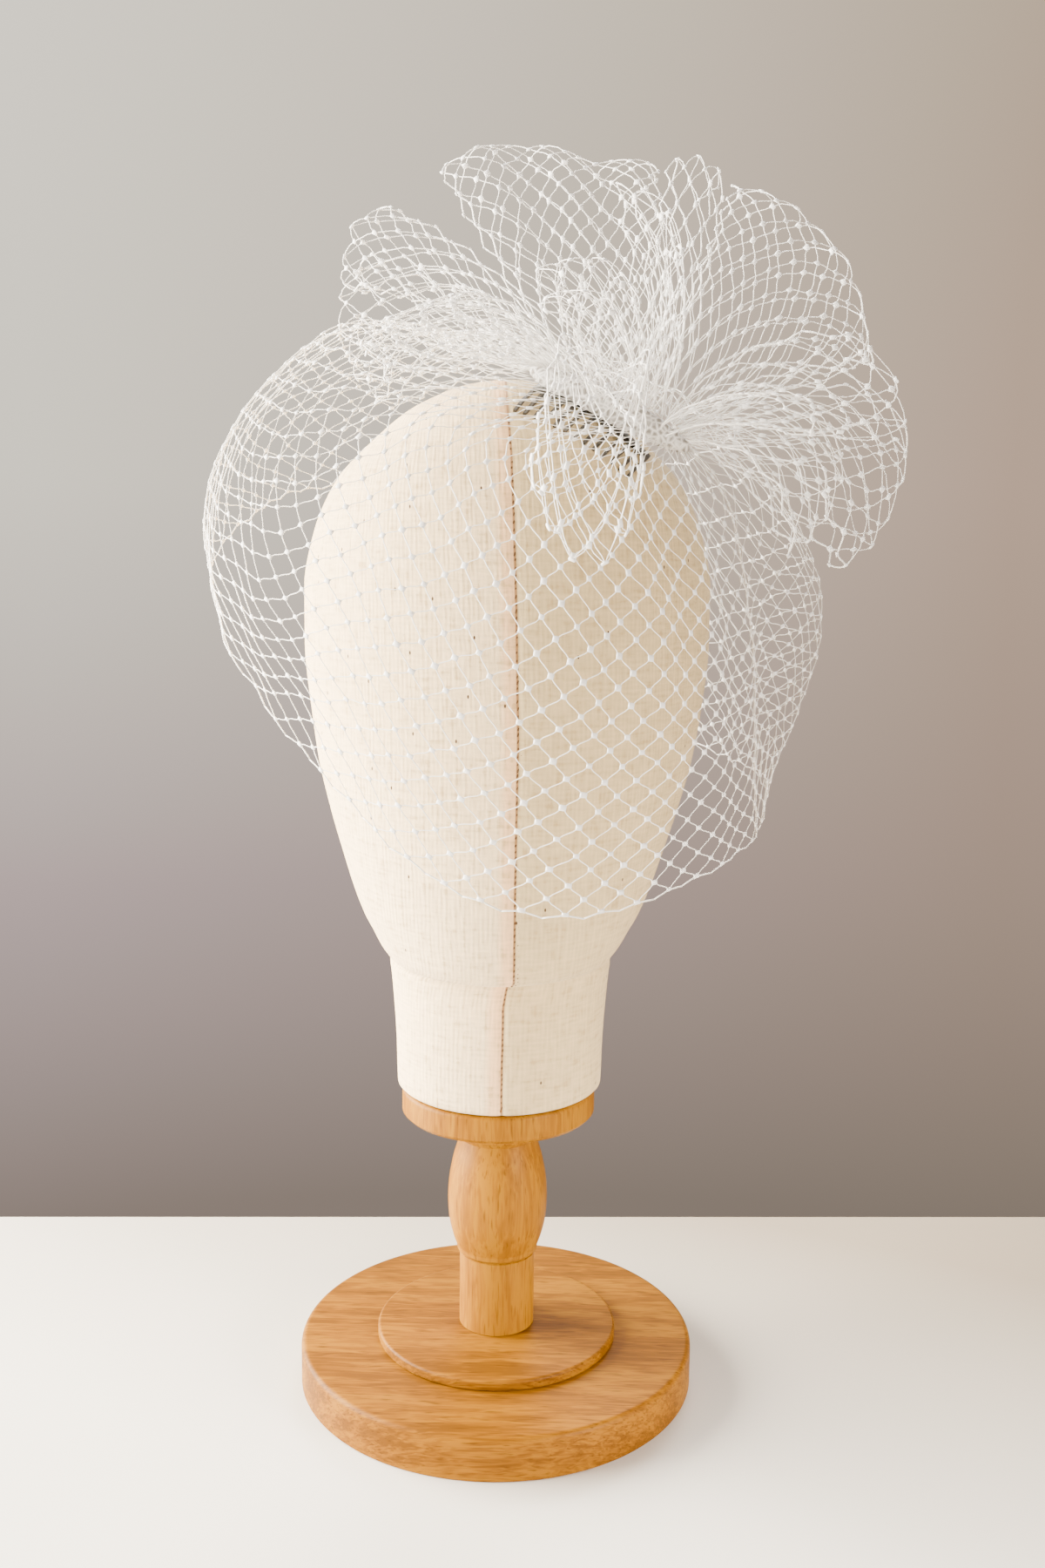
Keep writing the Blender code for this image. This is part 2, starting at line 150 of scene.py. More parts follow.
def wovenLinen():
    # natural linen, plain weave, stretched over a head form: matte, with slubs, flecks and sewn seams
    material, tree, shader = newMaterial("naturalLinenPlainWeave")
    weave = addNode(tree, "UVMap", {"uv_map": "weaveMetres"})      # across from the seam, and up
    axes = addNode(tree, "SeparateXYZ", links={"Vector": weave})
    side = addNode(tree, "MapRange", {"From Min": -0.0003, "From Max": 0.0003}, {"Value": axes.outputs["X"]})
    turnPerMetre = 2 * math.pi / (linenSettings["pitch"] * mm)
    warpAngle = addNode(tree, "Math", {"operation": "MULTIPLY", 1: turnPerMetre}, {0: axes.outputs["X"]})
    weftAngle = addNode(tree, "Math", {"operation": "MULTIPLY", 1: turnPerMetre}, {0: axes.outputs["Y"]})
    warp = addNode(tree, "Math", {"operation": "SINE"}, {0: warpAngle})
    weft = addNode(tree, "Math", {"operation": "SINE"}, {0: weftAngle})
    # each yarn is spun uneven: long thick and thin places, 2 mm wide and 10 mm long, both ways of the cloth
    stretchUp = addNode(tree, "Mapping", {"Scale": (520.0, 95.0, 1.0)}, {"Vector": weave})
    stretchAcross = addNode(tree, "Mapping", {"Scale": (95.0, 520.0, 1.0)}, {"Vector": weave})
    unevenYarn = {"noise_dimensions": "2D", "Scale": 1.0, "Detail": 2.0}
    yarnUp = addNode(tree, "TexNoise", unevenYarn, {"Vector": stretchUp})
    yarnAcross = addNode(tree, "TexNoise", unevenYarn, {"Vector": stretchAcross})
    yarns = addNode(tree, "Math", {"operation": "ADD"}, {0: yarnUp, 1: yarnAcross})
    ridges = addNode(tree, "Math", {"operation": "MULTIPLY_ADD", 1: linenSettings["weftShare"]},
                     {0: weft, 2: warp})
    height = addNode(tree, "Math", {"operation": "MULTIPLY_ADD", 1: 0.1}, {0: ridges, 2: yarns})
    # two panels meet at the seam, and the allowance shows through to its left
    # the right panel is painted darker: painted shade on the half of the head turned away from the window
    # light
    panel = addNode(tree, "Mix",
                    {"data_type": "RGBA", 6: linenSettings["leftPanel"], 7: linenSettings["shadedRightPanel"]},
                    {0: side})
    near = addNode(tree, "MapRange",
                   {"From Min": -linenSettings["allowanceWide"] * mm,
                    "From Max": -linenSettings["allowanceFull"] * mm, "To Max": 0.75},
                   {"Value": axes.outputs["X"]})
    band = addNode(tree, "Math", {"operation": "SUBTRACT", "use_clamp": True}, {0: near, 1: side})
    folded = addNode(tree, "Mix", {"data_type": "RGBA", 7: linenSettings["allowance"]},
                     {0: band, 6: panel.outputs[2]})
    # slubs: the thickest places of the yarn are yellower
    slubShare = addNode(tree, "MapRange", {"From Min": 1.14, "From Max": 1.36, "To Max": 0.42},
                        {"Value": yarns})
    slubbed = addNode(tree, "Mix", {"data_type": "RGBA", 7: linenSettings["slub"]},
                      {0: slubShare, 6: folded.outputs[2]})
    tone = addNode(tree, "MapRange", {"From Min": 0.62, "From Max": 1.38, "To Min": 1.09, "To Max": 0.85},
                   {"Value": height})
    woven = addNode(tree, "Mix", {"data_type": "RGBA", "blend_type": "MULTIPLY", 0: 1.0},
                    {6: slubbed.outputs[2], 7: tone})
    # shive: short dark bits of stalk left in the yarn, one in about fifteen square centimetres
    strewn = addNode(tree, "Mapping", {"Scale": (130.0, 75.0, 1.0)}, {"Vector": weave})
    bits = addNode(tree, "TexVoronoi", {"voronoi_dimensions": "2D", "Scale": 1.0}, {"Vector": strewn})
    chance = addNode(tree, "TexWhiteNoise", {"noise_dimensions": "2D"}, {"Vector": bits.outputs["Position"]})
    small = addNode(tree, "Math", {"operation": "LESS_THAN", 1: linenSettings["fleckSize"]}, {0: bits})
    rare = addNode(tree, "Math", {"operation": "GREATER_THAN", 1: linenSettings["fleckRarity"]}, {0: chance})
    shive = addNode(tree, "Math", {"operation": "MULTIPLY"}, {0: small, 1: rare})
    specked = addNode(tree, "Mix", {"data_type": "RGBA", 7: linenSettings["fleck"]},
                      {0: shive, 6: woven.outputs[2]})
    # the seams, down the front and up the back: a thin tan line where two edges turn in
    backSeam = addNode(tree, "Attribute", {"attribute_name": "fromBackSeam"})
    frontSeam = addNode(tree, "Math", {"operation": "ABSOLUTE"}, {0: axes.outputs["X"]})
    fromSeam = addNode(tree, "Math", {"operation": "MINIMUM"}, {0: frontSeam, 1: backSeam.outputs["Fac"]})
    lineEdge = linenSettings["seamWide"] * mm
    line = addNode(tree, "MapRange",
                   {"From Min": 0.4 * lineEdge, "From Max": lineEdge, "To Min": 0.8, "To Max": 0.0},
                   {"Value": fromSeam})
    seamed = addNode(tree, "Mix", {"data_type": "RGBA", 7: linenSettings["seamLine"]},
                     {0: line, 6: specked.outputs[2]})
    bump = addNode(tree, "Bump", {"Strength": 0.55, "Distance": 0.0005}, {"Height": height})
    setNode(tree, shader, {"Roughness": 0.92, "Sheen Weight": 0.12, "Specular IOR Level": 0.2},
            {"Base Color": seamed.outputs[2], "Normal": bump})
    return material


def lacqueredWood(name, turned, stretch, seed, tones):
    # rubberwood, turned and sprayed with honey lacquer: soft straight grain, short dark pores, a satin skin
    material, tree, shader = newMaterial(name)
    place = addNode(tree, "TexCoord")
    # the board was sawn a little across its growth layers, so they are turned before they are drawn out
    sawn = addNode(tree, "Mapping", {"Location": (seed, seed * 0.7, 0.0), "Rotation": turned},
                   {"Vector": place.outputs["Object"]})
    grain = addNode(tree, "Mapping", {"Scale": stretch}, {"Vector": sawn})
    # growth bands 8 to 18 mm wide, feathery streaks 1.5 to 3 mm wide, pores 1 mm wide and about 10 mm long
    broad = addNode(tree, "TexNoise", {"Scale": 7.0, "Detail": 3.0, "Distortion": 0.25}, {"Vector": grain})
    streak = addNode(tree, "TexNoise", {"Scale": 42.0, "Detail": 3.0, "Distortion": 1.1}, {"Vector": grain})
    pores = addNode(tree, "TexNoise", {"Scale": 95.0, "Detail": 1.0}, {"Vector": grain})
    mixed = addNode(tree, "Math", {"operation": "MULTIPLY_ADD", 1: 1.1}, {0: streak, 2: broad})
    share = addNode(tree, "MapRange", {"From Min": 0.8, "From Max": 1.3}, {"Value": mixed})
    tone = addNode(tree, "ValToRGB", {"stops": [(0.15, tones[0]), (0.5, tones[1]), (0.85, tones[2])]},
                   {"Fac": share})
    poreShare = addNode(tree, "MapRange", {"From Min": 0.6, "From Max": 0.74, "To Max": 0.65},
                        {"Value": pores})
    pored = addNode(tree, "Mix", {"data_type": "RGBA", 7: tones[3]}, {0: poreShare, 6: tone})
    bump = addNode(tree, "Bump", {"Strength": 0.1, "Distance": 0.0003, "invert": True}, {"Height": pores})
    setNode(tree, shader, {"Roughness": 0.5, "Specular IOR Level": 0.08, "Coat Weight": 0.03,
                           "Coat Roughness": 0.3}, {"Base Color": pored.outputs[2], "Normal": bump})
    return material


netWhite = nylonNet()
linen = wovenLinen()
print("materials made")


# head form, as in the solids: middle, top, underside and heart, then rows of height, half width, front, back
headX, headTop, headLow, headHeart = 2.0, 424.0, 189.0, np.array((2.0, 5.0, 320.0))
neckRows = [(131.8, 40.5, 40.5, 40.5), (134.0, 43.2, 43.2, 43.2), (153.0, 43.8, 43.8, 43.8),
            (172.0, 45.0, 45.0, 45.0), (187.0, 46.6, 46.8, 46.6), (190.5, 48.0, 54.0, 47.0)]
headRows = [(193.0, 49.5, 66.0, 47.5), (199.0, 54.0, 75.0, 50.0), (211.0, 61.0, 80.0, 56.0),
            (237.0, 69.0, 85.0, 70.0), (262.0, 74.5, 88.0, 84.0), (293.0, 79.5, 91.0, 97.0),
            (320.0, 82.0, 92.5, 103.0), (342.0, 82.0, 91.0, 103.0), (362.0, 78.5, 87.0, 99.0),
            (383.0, 69.5, 78.0, 89.0), (400.0, 54.0, 62.0, 72.0), (412.0, 39.5, 46.0, 54.0),
            (419.0, 26.0, 30.0, 36.0)]
# gathered core: its place, half sizes and the three ways it is measured in
core = np.array((40.0, -40.0, 410.0))
coreHalf = (34.0, 8.0, 8.0)
along = unit(np.array((0.88, -0.18, -0.44)))
outward = np.array((0.38, -0.42, 0.82))
outward = unit(outward - along * (outward @ along))
forward = np.cross(along, outward)
rootReach = 0.42                      # how far off the core the net's roots start


def curveBetween(t, step, low, lowSlope, high, highSlope):  # smooth curve from one known place to the next
    return ((2 * t**3 - 3 * t**2 + 1) * low + (t**3 - 2 * t**2 + t) * step * lowSlope
            + (3 * t**2 - 2 * t**3) * high + (t**3 - t**2) * step * highSlope)


def smoothTable(places, values, at):  # smooth curve through a short table
    places, values = np.asarray(places, float), np.asarray(values, float)
    at = np.clip(at, places[0], places[-1])
    row = np.clip(np.searchsorted(places, at, side="right") - 1, 0, len(places) - 2)
    slope = np.gradient(values, places)
    step = places[row + 1] - places[row]
    t = (at - places[row]) / step
    return curveBetween(t, step, values[row], slope[row], values[row + 1], slope[row + 1])


def smoothPath(knots, t):  # point at share t of a smooth path through knots
    steps = [np.linalg.norm(knots[k + 1] - knots[k], axis=-1)[..., None] for k in range(len(knots) - 1)]
    slopes = [(knots[1] - knots[0]) / steps[0]]
    for k in range(1, len(knots) - 1):
        before = (knots[k] - knots[k - 1]) / steps[k - 1]
        after = (knots[k + 1] - knots[k]) / steps[k]
        slopes.append((before * steps[k] + after * steps[k - 1]) / (steps[k] + steps[k - 1]))
    slopes.append((knots[-1] - knots[-2]) / steps[-1])
    place = t[..., None] * sum(steps)
    start = 0.0 * steps[0]
    point = knots[0] + 0.0 * place
    for k, step in enumerate(steps):
        u = np.clip((place - start) / step, 0.0, 1.0)
        piece = curveBetween(u, step, knots[k], slopes[k], knots[k + 1], slopes[k + 1])
        point = np.where(place >= start, piece, point)
        start = start + step
    return point


def latitude(height):
    return np.arccos(np.clip(2 * (height - headLow) / (headTop - headLow) - 1, -1, 1))


headTable = np.array(([(headLow, 0.0, 0.0, 0.0)] + headRows + [(headTop, 0.0, 0.0, 0.0)])[::-1])


def headShare(points):  # below 1 inside the head form
    height = points[..., 2]
    width, front, back = [np.interp(latitude(height), latitude(headTable[:, 0]), headTable[:, k])
                          for k in (1, 2, 3)]
    depth = np.where(points[..., 1] < 0, front, back)
    share = np.hypot((points[..., 0] - headX) / np.maximum(width, 0.001),
                     points[..., 1] / np.maximum(depth, 0.001))
    return np.where((height >= headTop) | (height <= headLow), np.inf, share)


def onHead(points, lift):  # points moved along rays from the heart of the head form, to lift off its surface
    ray = unit(points - headHeart)
    low, high = np.zeros(points.shape[:-1]), np.full(points.shape[:-1], 260.0)    # always outside the head
    for halving in range(24):
        middle = (low + high) / 2
        inside = headShare(headHeart + ray * middle[..., None]) < 1
        low, high = np.where(inside, middle, low), np.where(inside, high, middle)
    return headHeart + ray * (high + lift)[..., None]


def corePlace(place, angle, reach):  # point off the gathered core, and the way outwards there
    place = np.asarray(place, float)
    around = np.radians(angle)
    length, wide, deep = coreHalf
    girth = np.sqrt(np.maximum(1 - (place / length)**2, 0))
    front, out = wide * girth * np.sin(around), deep * girth * np.cos(around)
    normal = unit((place / length**2)[..., None] * along + (front / wide**2)[..., None] * forward
                  + (out / deep**2)[..., None] * outward)
    point = core + place[..., None] * along + front[..., None] * forward + out[..., None] * outward
    return point + normal * reach, normal


netSettings = {"side": 9.8,                                                # thread from knot to knot
               "veilThread": 0.19, "loopThread": 0.175, "selvage": 0.3,    # radii
               "coreThin": 0.8, "coreThinTo": 0.25,                        # thinner where threads crowd
               "knot": 1.55, "knotThick": 0.8, "knotShoulder": 0.62, "openCell": 5.0,
               "steps": 3, "ease": 0.35, "hem": 0.3, "widest": 0.93,
               "rimZigzag": 0.45, "looseAcross": 0.055, "looseDown": 0.035}


def readGrid(grid, u, v):  # smooth reading between the points of a grid
    rows, columns = grid.shape[0] - 1, grid.shape[1] - 1
    u, v = np.clip(u, 0, 1) * rows, np.clip(v, 0, 1) * columns
    i, j = np.minimum(u.astype(int), rows - 1), np.minimum(v.astype(int), columns - 1)
    fu, fv = (u - i)[..., None], (v - j)[..., None]
    return ((grid[i, j] * (1 - fu) + grid[i + 1, j] * fu) * (1 - fv)
            + (grid[i, j + 1] * (1 - fu) + grid[i + 1, j + 1] * fu) * fv)


def evenColumns(grid):  # each column measured again in even steps of its own length
    steps = np.linalg.norm(np.diff(grid, axis=1), axis=-1)
    reach = np.concatenate([np.zeros((len(grid), 1)), np.cumsum(steps, axis=1)], axis=1)
    even = np.empty_like(grid)
    for k in range(len(grid)):
        at = np.linspace(0, reach[k, -1], grid.shape[1])
        for c in range(3):
            even[k, :, c] = np.interp(at, reach[k], grid[k, :, c])
    return even, reach[:, -1]


def marchRows(grid, lengths, halfColumns, rowCount=None, hemmed=False):
    # knots are laid row by row, each a thread's length on from the two before it, so that cells close
    # where net is gathered
    side = netSettings["side"]
    share = np.linspace(0, 1, halfColumns + 1)
    reach = np.interp(share, np.linspace(0, 1, len(lengths)), lengths)
    rows = [np.zeros(halfColumns + 1)]
    while (len(rows) <= rowCount) if rowCount else (rows[-1].mean() < reach.mean() - 0.5 * side):
        spots = readGrid(grid, share, np.minimum(rows[-1] / reach, 1))
        gap = np.empty(halfColumns + 1)
        gap[1:-1] = np.linalg.norm(spots[2:] - spots[:-2], axis=-1) / 2
        gap[0], gap[-1] = gap[1], gap[-2]
        level = rows[-1].copy()
        level[1:-1] = (rows[-1][:-2] + rows[-1][2:]) / 2
        rows.append(level + np.sqrt(side**2 - np.minimum(gap, netSettings["widest"] * side)**2))
    if hemmed:                                # the last threads are drawn up along the hem
        rows[-1] = rows[-2] + netSettings["hem"] * (rows[-1] - rows[-2])
    table = np.array(rows).T
    return table / table[:, -1:]


def drift(points, size):  # slow, small unevenness of hand-set net
    x, y, z = points[..., 0], points[..., 1], points[..., 2]
    return size * (np.sin(0.083 * x + 0.061 * z + 1.0) + 0.8 * np.sin(0.121 * y - 0.071 * x + 2.1)
                   + 0.6 * np.sin(0.19 * z + 0.13 * y + 0.4) + 0.4 * np.sin(0.31 * x - 0.27 * z))


def tubeAlong(store, points, normals, radius):  # closed four-sided thread
    tangent = unit(np.gradient(points, axis=0))
    side = unit(np.cross(tangent, normals))
    lift = np.cross(side, tangent)
    ring = np.stack([points + lift * radius, points + side * radius,
                     points - lift * radius, points - side * radius], 1)
    first = store["count"]
    store["points"].append(ring.reshape(-1, 3))
    store["count"] += ring.shape[0] * 4
    last = ring.shape[0] - 1
    for k in range(last):
        a, b = first + 4 * k, first + 4 * k + 4
        store["faces"] += [(a, a + 1, b + 1, b), (a + 1, a + 2, b + 2, b + 1),
                           (a + 2, a + 3, b + 3, b + 2), (a + 3, a, b, b + 3)]
    end = first + 4 * last
    store["faces"] += [(first + 3, first + 2, first + 1, first), (end, end + 1, end + 2, end + 3)]


def knotsAt(store, centre, normal, oneWay, otherWay, size):  # small cushions, threads leave at their corners
    p, q = unit(oneWay + otherWay), unit(oneWay - otherWay)
    half = np.arctan2(np.linalg.norm(oneWay - otherWay, axis=-1), np.linalg.norm(oneWay + otherWay, axis=-1))
    half = np.clip(half, math.radians(30), math.radians(60))[:, None]
    size = size[:, None]
    p, q = p * np.cos(half) * size, q * np.sin(half) * size
    thick = normal * (size * netSettings["knotThick"] / netSettings["knot"] / 2)
    corners = (p + q, q - p, -p - q, p - q)
    shoulder = netSettings["knotShoulder"]
    under = [centre + c * shoulder - thick for c in corners]
    over = [centre + c * shoulder + thick for c in corners]
    block = np.stack(under + [centre + c for c in corners] + over, 1)
    first = store["count"] + 12 * np.arange(len(centre))
    store["points"].append(block.reshape(-1, 3))
    store["count"] += 12 * len(centre)
    plan = [(0, 3, 2, 1), (8, 9, 10, 11)]
    for low in (0, 4):
        plan += [(low + c, low + (c + 1) % 4, low + (c + 1) % 4 + 4, low + c + 4) for c in range(4)]
    for base in first.tolist():
        store["faces"] += [tuple(base + c for c in face) for face in plan]


def layNetting(name, grid, table, rootRows, rims, seed, thread, unevenness=0.35):
    # grid holds the cloth's middle, table the knots' places down it, rims the edges with a thicker thread
    halfColumns, halfRows = table.shape[0] - 1, table.shape[1] - 1
    normals = unit(np.cross(np.gradient(grid, axis=0), np.gradient(grid, axis=1)))
    loose = np.random.default_rng(seed)
    u = np.linspace(0, 1, halfColumns + 1)[:, None] + 0 * table
    zigzag = netSettings["rimZigzag"] / halfColumns               # the selvage zigzags less than the cells
    u[0], u[-1] = zigzag, 1 - zigzag
    inner = np.ones_like(table)
    inner[0], inner[-1], inner[:, 0], inner[:, -1] = 0, 0, 0, 0
    u = u + inner * loose.normal(0, netSettings["looseAcross"] / halfColumns, table.shape)
    v = table + inner * loose.normal(0, netSettings["looseDown"] / halfRows, table.shape)
    store = {"points": [], "faces": [], "count": 0}
    steps, ease = netSettings["steps"], netSettings["ease"]
    f = np.arange(steps) / steps
    eased = f - ease * np.sin(2 * math.pi * f) / (2 * math.pi)
    for way in (1, -1):
        edge = 0 if way > 0 else halfColumns
        starts = [(edge, j) for j in range(halfRows) if (j + edge) % 2 == 0]
        starts += [(i, 0) for i in range(2, halfColumns, 2)]
        for i, j in starts:
            count = min(halfRows - j, (halfColumns - i) if way > 0 else i)
            if count < 1:
                continue
            k = np.arange(count + 1)
            a, b = u[i + way * k, j + k], v[i + way * k, j + k]
            pathU = np.append((a[:-1, None] + (a[1:] - a[:-1])[:, None] * eased).ravel(), a[-1])
            pathV = np.append((b[:-1, None] + (b[1:] - b[:-1])[:, None] * f).ravel(), b[-1])
            points, facing = readGrid(grid, pathU, pathV), unit(readGrid(normals, pathU, pathV))
            points = points + facing * drift(points, unevenness)[:, None]
            place = np.append((k[:-1, None] + f).ravel(), k[-1])
            # where they crowd at the core, the threads are drawn a fifth thinner
            fromRoot = pathV if rootRows[1] < 2 else np.minimum(pathV, 1 - pathV)
            radius = thread * np.interp(fromRoot, (0.0, netSettings["coreThinTo"]),
                                        (netSettings["coreThin"], 1.0))
            if "end" in rims:
                radius = np.where(j + place > halfRows - 1.0, netSettings["selvage"], radius)
            if "sides" in rims:
                column = i + way * place
                atSide = (column < 1.0) | (column > halfColumns - 1.0)
                radius = np.where(atSide, netSettings["selvage"], radius)
            tubeAlong(store, points, facing, radius[:, None])
    i, j = np.meshgrid(np.arange(halfColumns + 1), np.arange(halfRows + 1), indexing="ij")
    keep = ((i + j) % 2 == 0) & (j >= rootRows[0]) & (j <= halfRows - rootRows[1])
    i, j = i[keep], j[keep]
    spot = readGrid(grid, u, v)
    facing = unit(readGrid(normals, u, v))
    spot = spot + facing * drift(spot, unevenness)[..., None]

    def neighbour(di, dj):
        return spot[np.clip(i + di, 0, halfColumns), np.clip(j + dj, 0, halfRows)]
    oneWay, otherWay = unit(neighbour(1, 1) - neighbour(-1, -1)), unit(neighbour(-1, 1) - neighbour(1, -1))
    room = np.linalg.norm(neighbour(1, 0) - neighbour(-1, 0), axis=-1)
    crowding = np.clip(room / netSettings["openCell"], 0.45, 1.0)
    size = netSettings["knot"] * crowding * loose.uniform(0.88, 1.1, len(i))
    threadPoints = store["count"]
    knotsAt(store, spot[i, j], facing[i, j], oneWay, otherWay, size)
    piece = meshPiece(name, np.concatenate(store["points"]), store["faces"], netWhite)
    knotMark = piece.data.attributes.new("knot", "FLOAT", "POINT")
    knotMark.data.foreach_set("value", (np.arange(store["count"]) >= threadPoints).astype(float))
    area = sum(face.area for face in piece.data.polygons)
    print("  ", name, "quads", len(piece.data.polygons), "knots", len(i), "half area m2 %.4f" % (area / 2))
    return piece


def declareNet(piece, node=None):
    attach(piece, "root")
    if node:
        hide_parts(node)


# veil: one strip, gathered to the core and let down round the face
veilSettings = {"columns": 50, "halfRows": 34, "gathers": 22, "gatherDeep": 1.5, "lift": 4.2,
                "halfTurn": 174.0, "swirlLeft": 35.0, "swirlRight": 20.0, "combTurn": 40.0, "rootSunk": 0.6,
                "rootFine": 1.15}
veilRows = [  # turn, crest radius and height, reach and its height, rim radius and height
    (-174, 77, 446, 124, 408, 116, 388), (-150, 77, 446, 124, 404, 116, 386),
    (-125, 77, 446, 124, 396, 116, 382), (-105, 76, 445, 122, 388, 115, 369),
    (-87, 76, 440, 122, 374, 120, 350), (-70, 75, 431, 121, 360, 116, 322),
    (-52, 73, 419, 117, 350, 108, 293), (-37, 73, 410, 114, 345, 107, 275),
    (-20, 77, 402, 114, 340, 111, 252), (-3, 81, 397, 115, 335, 115, 235),
    (14, 86, 391, 116, 330, 118, 231), (30, 90, 386, 115, 330, 115, 236),
    (48, 91, 382, 108, 333, 113, 244), (62, 90, 382, 104, 335, 110, 248),
    (74, 93, 384, 103, 337, 107, 250), (88, 104, 388, 126, 340, 109, 256),
    (108, 98, 408, 132, 350, 114, 262), (132, 86, 428, 127, 362, 120, 268),
    (152, 79, 440, 126, 375, 124, 294), (174, 77, 444, 124, 395, 118, 345)]


def veilPoint(share, t):
    table = np.array(veilRows, float)
    turn = table[0, 0] + share * (table[-1, 0] - table[0, 0])
    read = [smoothTable(table[:, 0], table[:, k], turn) for k in range(1, 7)]
    crest, crestHeight, reach, reachHeight, rim, rimHeight = read
    angle = np.radians(turn)
    way = np.stack([np.sin(angle), -np.cos(angle), 0 * angle], -1)
    axis, up = np.array([2.0, 5.0, 0.0]), np.array([0.0, 0.0, 1.0])
    wide = axis + way * reach[..., None] + up * reachHeight[..., None]
    top = axis + way * crest[..., None] + up * crestHeight[..., None]
    end = axis + way * rim[..., None] + up * rimHeight[..., None]
    aim = wide - core
    around = np.arctan2(aim @ forward, aim @ along)
    length, girth = coreHalf[0] + 2 * rootReach, coreHalf[1] + 2 * rootReach
    root = core + along * (length * np.cos(around))[..., None] + forward * (girth * np.sin(around))[..., None]
    root = root - outward * veilSettings["rootSunk"]
    points = smoothPath([root, top, wide, end], t)
    clear = onHead(points, veilSettings["lift"])
    lower = np.linalg.norm(points - headHeart, axis=-1) < np.linalg.norm(clear - headHeart, axis=-1)
    return np.where((lower & (t > 0.0))[..., None], clear, points)


def veilGrid(columns, rows):
    down = np.linspace(0, 1, rows + 1)**veilSettings["rootFine"]
    share, t = np.meshgrid(np.linspace(0, 1, columns + 1), down, indexing="ij")
    halfTurn, comb = veilSettings["halfTurn"], veilSettings["combTurn"]
    turn = -halfTurn + 2 * halfTurn * share
    # at its root the strip is drawn towards the comb from both sides
    fromLeft = np.sin(math.pi * np.clip((comb - turn) / (halfTurn + comb), 0, 1))
    fromRight = np.sin(math.pi * np.clip((turn - comb) / (halfTurn - comb), 0, 1))
    swirl = np.where(turn < comb, veilSettings["swirlLeft"] * fromLeft,
                     -veilSettings["swirlRight"] * fromRight)
    share = np.clip(share + swirl * (1 - t) / (2 * halfTurn), 0, 1)
    grid = veilPoint(share, t)
    normal = unit(np.cross(np.gradient(grid, axis=0), np.gradient(grid, axis=1)))
    deep = veilSettings["gatherDeep"] * np.interp(t, (0.0, 0.12, 0.3, 0.6, 1.0), (0.0, 0.8, 1.0, 0.5, 0.4))
    return grid + normal * (deep * np.sin(2 * math.pi * veilSettings["gathers"] * share))[..., None]


veilCloth, veilLengths = evenColumns(veilGrid(columns=480, rows=150))
veilColumns, veilHalfRows = veilSettings["columns"], veilSettings["halfRows"]
veilTable = marchRows(veilCloth, veilLengths, 2 * veilColumns, veilHalfRows, hemmed=True)
veilNet = layNetting("veilNet", veilCloth, veilTable, rootRows=(2, 1), rims=("end",), seed=11,
                     thread=netSettings["veilThread"], unevenness=0.25)
declareNet(veilNet, "veil_net")
print("veil laid")

# loops of the pouf: from the core out to the tip and back
loopSettings = {"neck": 1.2, "cell": 15.0, "spread": 0.72, "bulge": 1.3, "cornersIn": 0.06,
                "across": 80, "down": 160}
loopRows = [  # node, roots, tips, opens towards, opening, sag, ripples, ripple depth
    ("loop_left_rear", (-17, -58), (-30, -62),
     [(-48, 0, 493), (-60, 5, 484), (-66, 9, 470), (-64, 10, 457)],
     (0.25, 1.0, 0.1), 20, (0, 8, 10), 2.0, 3.0),
    ("loop_left_front", (-17, 30), (-30, 24),
     [(-18, -64, 446), (-38, -64, 440), (-49, -64, 433), (-51, -66, 421)],
     (0.1, 0.8, 0.6), 11, (0, 0, 8), 1.5, 1.5),
    ("loop_centre", (-15, -20), (15, -20),
     [(-30, -25, 502), (4, -20, 509), (36, -24, 503), (59, -30, 502)],
     (0.0, 1.0, 0.0), 26, (0, -2, 0), 3.0, 5.0),
    ("loop_rosette", (-11, 16), (13, 16),
     [(7, -74, 452), (22, -80, 457), (37, -80, 455), (48, -74, 446)],
     (0.0, 1.0, 0.4), 16, (0, -8, 6), 2.0, 3.0),
    ("loop_right_top", (8, -66), (19, -62),
     [(62, 8, 512), (72, 8, 513), (80, 4, 509), (86, 0, 501)],
     (0.35, 0.9, -0.35), 14, (2, 4, 0), 1.0, 2.0),
    ("loop_right_fan", (19, -14), (27, -14),
     [(84, -20, 498), (107, -24, 488), (128, -30, 466), (139, -40, 425)],
     (0.1, 1.0, 0.2), 22, (4, 0, 8), 3.0, 4.0),
    ("loop_right_mid", (23, 18), (23, 62),
     [(131, -72, 429), (143, -74, 408), (134, -77, 399), (107, -87, 398)],
     (-0.35, -0.5, 0.78), 12, (0, -6, 8), 1.5, 3.0),
    ("loop_right_low", (28.5, 4), (33.2, 4),
     [(155, -40, 403), (149, -48, 382), (139, -58, 363), (121, -68, 347)],
     (-0.06, 0.91, -0.42), 20, (8, -2, 12), 2.0, 4.0),
    ("loop_brow", (-9, 58), (12, 58),
     [(8, -114, 378), (22, -122, 358), (34, -122, 354), (49, -112, 378)],
     (0.1, -0.6, 0.8), 10, (0, -16, 26), 1.5, 3.0)]


